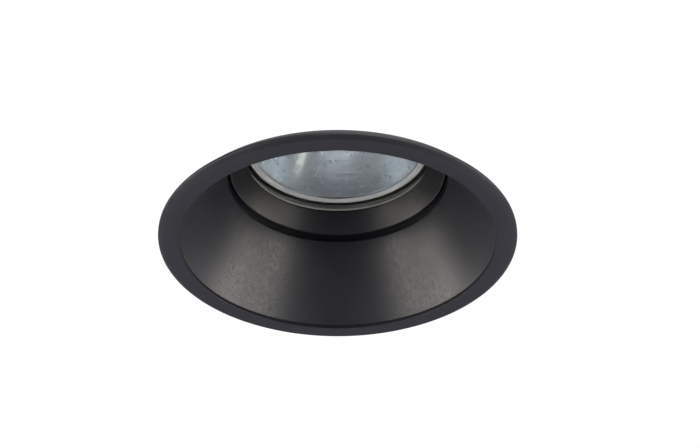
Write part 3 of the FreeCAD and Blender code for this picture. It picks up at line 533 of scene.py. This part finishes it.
def facet_bowl(name, mat, z0, z1, rows=17, cols=44, sub=3, bulge=0.055):
    """Inside of the reflector: rows of small pillow facets in a straight grid."""
    # rows of equal run along the curve
    n = 400
    zs = [z0 + (z1 - z0) * i / n for i in range(n + 1)]
    run = [0.0]
    for i in range(n):
        run.append(run[-1] + math.hypot(refl_in(zs[i + 1]) - refl_in(zs[i]), zs[i + 1] - zs[i]))

    def at(s):
        s = max(0.0, min(run[-1], s))
        lo = 0
        for i in range(n):
            if run[i + 1] >= s:
                lo = i
                break
        f = (s - run[lo]) / max(1e-9, run[lo + 1] - run[lo])
        return zs[lo] + (zs[lo + 1] - zs[lo]) * f

    bm = bmesh.new()
    R, C = rows * sub, cols * sub
    grid = []
    for i in range(R + 1):
        z = at(run[-1] * i / R)
        r = refl_in(z)
        # inward normal of the parabola
        nr, nz = -2 * r, -4 * FOCAL
        ln = math.hypot(nr, nz)
        nr, nz = nr / ln, nz / ln
        v = (i % sub) / sub * 2 - 1
        line = []
        for j in range(C):
            u = (j % sub) / sub * 2 - 1
            b = bulge * (1 - u * u) * (1 - v * v)
            a = 2 * math.pi * j / C
            rr = r + nr * b
            line.append(bm.verts.new((rr * MM * math.cos(a), rr * MM * math.sin(a), (z + nz * b) * MM)))
        grid.append(line)
    for i in range(R):
        for j in range(C):
            j2 = (j + 1) % C
            bm.faces.new((grid[i][j], grid[i][j2], grid[i + 1][j2], grid[i + 1][j]))
    for f in bm.faces:
        f.smooth = True
    # creases between facets
    bm.edges.ensure_lookup_table()
    me = bpy.data.meshes.new(name)
    idx = {}
    bm.verts.index_update()
    for i in range(R + 1):
        for j in range(C):
            idx[grid[i][j].index] = (i, j)
    for e in bm.edges:
        (i1, j1), (i2, j2) = idx[e.verts[0].index], idx[e.verts[1].index]
        if i1 == i2:
            e.smooth = i1 % sub != 0
        else:
            e.smooth = j1 % sub != 0
    bm.to_mesh(me)
    bm.free()
    o = bpy.data.objects.new(name, me)
    SCENE.collection.objects.link(o)
    me.materials.append(mat)
    return o


Z_RIM_IN, Z_RIM_OUT = 32.23, 32.98
Z_NECK_IN = VERTEX - 6.5 ** 2 / (4 * FOCAL)
bowl = facet_bowl("reflector_facets", M_DICHROIC, Z_RIM_IN, Z_NECK_IN, 22, 60, 3, 0.030)
stands_for(bowl, "lamp", slot="reflector_dichroic")
outer = [(24.9 - 14.7 * (i / 16.0) ** 2.2, Z_RIM_OUT + (56.4 - Z_RIM_OUT) * (i / 16.0) ** 0.9) for i in range(17)]
# crowned face with two fine grooves
rim_pts = [(refl_in(Z_RIM_IN) + 0.02, Z_RIM_IN), (23.62, Z_RIM_IN), (23.62, 30.40), (23.85, 30.16), (24.08, 30.06),
           (24.15, 30.16), (24.22, 30.04), (24.50, 29.99), (24.78, 30.03), (24.85, 30.15), (24.92, 30.06),
           (25.15, 30.18), (25.35, 30.45), (25.35, Z_RIM_OUT - 0.2)]
shell = lathe("reflector_shell", rim_pts + outer + [(10.2, 60.0), (6.55, 60.0), (6.55, Z_NECK_IN)], M_RIM, 192, 5, 4.0,
              closed=False)
stands_for(shell, "lamp", "lamp_reflector", slot="reflector_dichroic")
cover = lathe("lamp_cover", [(0, 30.33), (23.55, 30.33, 0.2), (23.55, 32.21, 0.1), (0, 32.21)], M_COVER, 192, 4, 8.0,
              closed=False)
stands_for(cover, "lamp", "lamp_cover_glass", slot="lamp_glass")
paint(M_QUARTZ, "lamp_capsule")
paint(M_TUNGSTEN, "lamp_filament")
paint(M_LAMP_CERAMIC, "lamp_base")
paint(M_NICKEL, "lamp_pins")

# --------------------------------------------------------------------- can
can = lathe("can_shell", [
    (33.1, 19.5), (33.1, 100.0, 2.0), (0, 100.0), (0, 101.2), (34.1, 101.2, 3.0), (34.1, 97.0), (34.1, 60.0),
    (34.1, 24.0), (34.1, 19.5)], M_CAN, 256, 8, 2.5)
stands_for(can, "root", "can", slot="can_aluminium")
paint(M_ORING, "can_o_ring")

# ------------------------------------------------------------- other nodes
for side in ("left", "right"):
    adopt("clip_bracket_" + side, "bracket_" + side, M_ZINC, "root", 0.18, slot="zinc_steel")
    adopt("clip_arm_" + side, "arm_" + side, M_ZINC, "clip_" + side, 0.14, slot="zinc_steel")
    adopt("clip_pad_" + side, "pad_" + side, M_PAD, "clip_" + side, 0.25, slot="pad_rubber")
    paint(M_STEEL, "clip_spring_" + side, "clip_spring_leg_" + side)
adopt("clip_rivets", "rivets", M_ALRIVET, "root", 0.1, slot="can_aluminium")
adopt("clip_pins", "hinge_pins", M_STEEL, "root", 0.2, slot="zinc_steel")
adopt("can_screws", "screws_can", M_SCREW, "root", 0.12, slot="zinc_steel")
adopt("bracket_screws", "screws_bracket", M_SCREW, "root", 0.12, slot="zinc_steel")
adopt("bracket_nuts", "nuts_bracket", M_SCREW, "root", 0.2, slot="zinc_steel")
adopt("box_screws", "screws_box", M_SCREW, "root", 0.12, slot="zinc_steel")
adopt("earth_screw", "screw_earth", M_BRASS, "root", 0.12, slot="brass")
adopt("cord_clamp_screws", "screws_clamp", M_SCREW, "root", 0.12, slot="zinc_steel")
adopt("lampholder_screws", "screws_holder", M_SCREW, "root", 0.12, slot="zinc_steel")
adopt("terminal_screws", "screws_terminal", M_SCREW, "root", 0.08, slot="zinc_steel")
adopt("lampholder_body", "holder_body", M_CERAMIC, "root", 0.3, slot="holder_ceramic")
adopt("lampholder_cap", "holder_cap", M_CERAMIC, "root", 0.3, slot="holder_ceramic")
adopt("lampholder_contacts", "holder_contacts", M_BRASS, "root", 0.05, slot="brass")
adopt("lampholder_bracket", "holder_bracket", M_ZINC, "root", 0.18, slot="zinc_steel")
adopt("terminal_bracket", "box_bracket", M_ZINC, "root", 0.18, slot="zinc_steel")
adopt("terminal_box_base", "box_base", M_BOX, "root", 0.30, slot="box_plastic")
adopt("terminal_box_lid", "box_lid_piece", M_BOX, "box_lid", 0.30, slot="box_plastic")
adopt("lid_hinge_pin", "lid_pin", M_STEEL, "root", 0.1, slot="spring_steel")
adopt("lead_bush", "bush", M_BUSH, "root", 0.0, slot="bush_rubber")
adopt("cable_grommet", "grommet", M_BUSH, "root", 0.0, slot="bush_rubber")
adopt("earth_tag", "tag_earth", M_BRASS, "root", 0.08, slot="brass")
adopt("terminal_block", "block", M_BLOCK, "root", 0.2, slot="block_plastic")
adopt("terminal_contacts", "block_contacts", M_BRASS, "root", 0.05, slot="brass")
adopt("cord_clamp", "clamp", M_BOX, "root", 0.25, slot="box_plastic")
paint(M_BROWN, "lead_live")
paint(M_BLUE, "lead_neutral")
paint(M_EARTH, "lead_earth")

# ------------------------------------------------------------------- stage
# A white soffit board round the trim, seen only from below, and a pale floor
# and backdrop far off: these don't light the object. A glowing twin board, soffit_bounce,
# seen only by diffuse and glossy rays, stands in for the ceiling's bounce light and lights
# the object along with the softboxes and sky.


def glow(name, front, back):
    """Material that glows on its front, and glows or is clear on its back."""
    m = bpy.data.materials.new(name)
    m.use_nodes = True
    nt = m.node_tree
    nt.nodes.clear()
    out = nt.nodes.new("ShaderNodeOutputMaterial")
    em = nt.nodes.new("ShaderNodeEmission")
    em.inputs["Color"].default_value = (*front[1], 1)
    em.inputs["Strength"].default_value = front[0]
    if back is None:
        other = nt.nodes.new("ShaderNodeBsdfTransparent")
    else:
        other = nt.nodes.new("ShaderNodeEmission")
        other.inputs["Color"].default_value = (*back[1], 1)
        other.inputs["Strength"].default_value = back[0]
    geo = nt.nodes.new("ShaderNodeNewGeometry")
    mix = nt.nodes.new("ShaderNodeMixShader")
    nt.links.new(geo.outputs["Backfacing"], mix.inputs[0])
    nt.links.new(em.outputs[0], mix.inputs[1])
    nt.links.new(other.outputs[0], mix.inputs[2])
    nt.links.new(mix.outputs[0], out.inputs["Surface"])
    return m


def seen_by(o, camera=False, diffuse=False, glossy=False, transmission=False, shadow=False):
    o.visible_camera = camera
    o.visible_diffuse = diffuse
    o.visible_glossy = glossy
    o.visible_transmission = transmission
    o.visible_shadow = shadow
    o.visible_volume_scatter = False


def board(name, mat, hole, z):
    """Wide flat board with a round hole, its front facing down."""
    bm = bmesh.new()
    inner, outer_v = [], []
    n = 256
    for k in range(n):
        a = 2 * math.pi * k / n
        inner.append(bm.verts.new((hole * math.cos(a), hole * math.sin(a), z)))
        outer_v.append(bm.verts.new((6.0 * math.cos(a), 6.0 * math.sin(a), z)))
    for k in range(n):
        k2 = (k + 1) % n
        bm.faces.new((inner[k2], inner[k], outer_v[k], outer_v[k2]))
    bm.normal_update()
    if bm.faces[:][0].normal.z > 0:
        bmesh.ops.reverse_faces(bm, faces=bm.faces)
    me = bpy.data.meshes.new(name)
    bm.to_mesh(me)
    bm.free()
    o = bpy.data.objects.new(name, me)
    SCENE.collection.objects.link(o)
    me.materials.append(mat)
    return o


seen_by(board("soffit", glow("soffit_white", (1.05, (1, 1, 1)), None), 0.0443, 0.00003), camera=True)
# soffit_bounce glows on both faces as painted ceiling bounce light on the object
seen_by(board("soffit_bounce", glow("soffit_bounce", (0.35, (1, 1, 1)), (0.55, (1, 1, 1))), 0.0443, 0.00003),
        diffuse=True, glossy=True)


def floor():
    """Pale even floor far down and a pale backdrop round everything."""
    m = bpy.data.materials.new("floor_pale")
    m.use_nodes = True
    nt = m.node_tree
    nt.nodes.clear()
    out = nt.nodes.new("ShaderNodeOutputMaterial")
    em = nt.nodes.new("ShaderNodeEmission")
    co = nt.nodes.new("ShaderNodeTexCoord")
    no = nt.nodes.new("ShaderNodeTexNoise")
    no.inputs["Scale"].default_value = 0.6
    ramp = nt.nodes.new("ShaderNodeValToRGB")
    e = ramp.color_ramp.elements
    e[0].position, e[0].color = 0.3, (0.70, 0.70, 0.695, 1)
    e[1].position, e[1].color = 0.7, (0.74, 0.74, 0.735, 1)
    nt.links.new(co.outputs["Object"], no.inputs["Vector"])
    nt.links.new(no.outputs["Fac"], ramp.inputs["Fac"])
    nt.links.new(ramp.outputs["Color"], em.inputs["Color"])
    nt.links.new(em.outputs[0], out.inputs["Surface"])
    bm = bmesh.new()
    s = 30.0
    vs = [bm.verts.new((x * s, y * s, -1.5)) for x, y in ((-1, -1), (1, -1), (1, 1), (-1, 1))]
    bm.faces.new(vs)
    o = from_bm("floor", bm, m)
    seen_by(o, camera=True)
    bm = bmesh.new()
    bmesh.ops.create_icosphere(bm, subdivisions=5, radius=6.4)
    o = from_bm("backdrop", bm, glow("backdrop_pale", (0.78, (1, 1, 1)), (0.78, (1, 1, 1))))
    seen_by(o, camera=True)


floor()

# ------------------------------------------------------------------ lights
SCENE.view_settings.view_transform = "Standard"
SCENE.view_settings.look = "None"
SCENE.view_settings.exposure = 0.0
SCENE.view_settings.gamma = 1.0


def sky():
    """Pale above the horizon, dim below it, where the trim looks."""
    w = bpy.data.worlds.new("world")
    SCENE.world = w
    w.use_nodes = True
    nt = w.node_tree
    nt.nodes.clear()
    out = nt.nodes.new("ShaderNodeOutputWorld")
    bg = nt.nodes.new("ShaderNodeBackground")
    co = nt.nodes.new("ShaderNodeTexCoord")
    sep = nt.nodes.new("ShaderNodeSeparateXYZ")
    nt.links.new(co.outputs["Generated"], sep.inputs[0])
    up = nt.nodes.new("ShaderNodeValToRGB")
    e = up.color_ramp.elements
    e[0].position, e[0].color = 0.495, (*SKY_LOW, 1)
    e[1].position, e[1].color = 0.505, (0.72, 0.735, 0.77, 1)
    half = nt.nodes.new("ShaderNodeMapRange")
    half.inputs["From Min"].default_value = -1.0
    nt.links.new(sep.outputs[2], half.inputs["Value"])
    nt.links.new(half.outputs["Result"], up.inputs["Fac"])
    nt.links.new(up.outputs["Color"], bg.inputs["Color"])
    nt.links.new(bg.outputs[0], out.inputs["Surface"])


SKY_LOW = (0.262, 0.256, 0.310)
sky()


def area(name, loc, target, size, power, color=(1, 1, 1)):
    d = bpy.data.lights.new(name, "AREA")
    d.shape = "RECTANGLE"
    d.size, d.size_y = size
    d.energy = power
    d.color = color
    o = bpy.data.objects.new(name, d)
    o.location = loc
    o.rotation_euler = (Vector(target) - Vector(loc)).to_track_quat("-Z", "Y").to_euler()
    o.visible_camera = False
    SCENE.collection.objects.link(o)
    return o


def softbox(name, az, el, wide, high, radiance, color):
    """Softbox 1.1 m off: azimuth from +Y, elevation and size in degrees."""
    a, e, R = math.radians(az), math.radians(el), 1.1
    loc = (R * math.sin(a) * math.cos(e), R * math.cos(a) * math.cos(e), R * math.sin(e))
    w, h = 2 * R * math.tan(math.radians(wide / 2)), 2 * R * math.tan(math.radians(high / 2))
    return area(name, loc, (0, 0, 0), (w, h), radiance * math.pi * w * h, color)


def only(light, pieces, blockers=None):
    """Lets a light reach these pieces only; blockers are what can shade them."""
    c = bpy.data.collections.new(light.name + "_lit")
    for o in pieces:
        c.objects.link(o)
    light.light_linking.receiver_collection = c
    if blockers is not None:
        b = bpy.data.collections.new(light.name + "_shade")
        for o in blockers:
            b.objects.link(o)
        light.light_linking.blocker_collection = b
        light.data.cycles.use_multiple_importance_sampling = False
    return light


WARM, COOL, NEUTRAL = (1.0, 0.955, 0.88), (0.92, 0.95, 1.0), (0.97, 0.97, 1.0)
for side, sx in (("left", -1), ("right", 1)):
    only(softbox("side_low_" + side, sx * 90, -22, 22, 16, 11.6, WARM), [trim, ring])
    only(softbox("side_front_" + side, sx * 120, -22, 22, 16, 9.0, WARM), [trim, ring])
    only(softbox("side_high_" + side, sx * 90, -8, 22, 16, 3.9, WARM), [trim, ring])
    only(softbox("back_high_" + side, sx * 60, -8, 22, 16, 1.2, COOL), [trim, ring])
    only(softbox("back_low_" + side, sx * 30, -45, 22, 16, 1.7, COOL), [trim, ring])
    # the same softboxes as the lamp's mirror shows them
    only(softbox("lamp_front_" + side, sx * 120, -20, 9, 22, 2.2, WARM), [bowl, lens], [seal])
    only(softbox("lamp_side_" + side, sx * 84, -22, 9, 22, 3.2, WARM), [bowl, lens], [seal])
    only(softbox("rim_side_" + side, sx * 90, -30, 22, 16, 4.0, WARM), [shell, lens], [seal])
only(softbox("lamp_wide", 180, -13, 110, 14, 0.40, COOL), [bowl, shell], [seal])
only(softbox("lamp_deep", 180, -38, 60, 16, 5.3, COOL), [bowl], [seal])
only(softbox("lamp_low", 180, -62, 50, 30, 0.80, NEUTRAL), [shell], [seal])
only(softbox("gasket_low", 180, -62, 50, 30, 0.04, WARM), [gasket], [seal])
only(softbox("bevel_low", 180, -75, 60, 60, 0.03, NEUTRAL), [lens], [seal])
area("top_key", (0.5, -0.8, 1.1), (0, 0, 0.05), (0.9, 0.9), 22.0, (1.0, 0.98, 0.96))
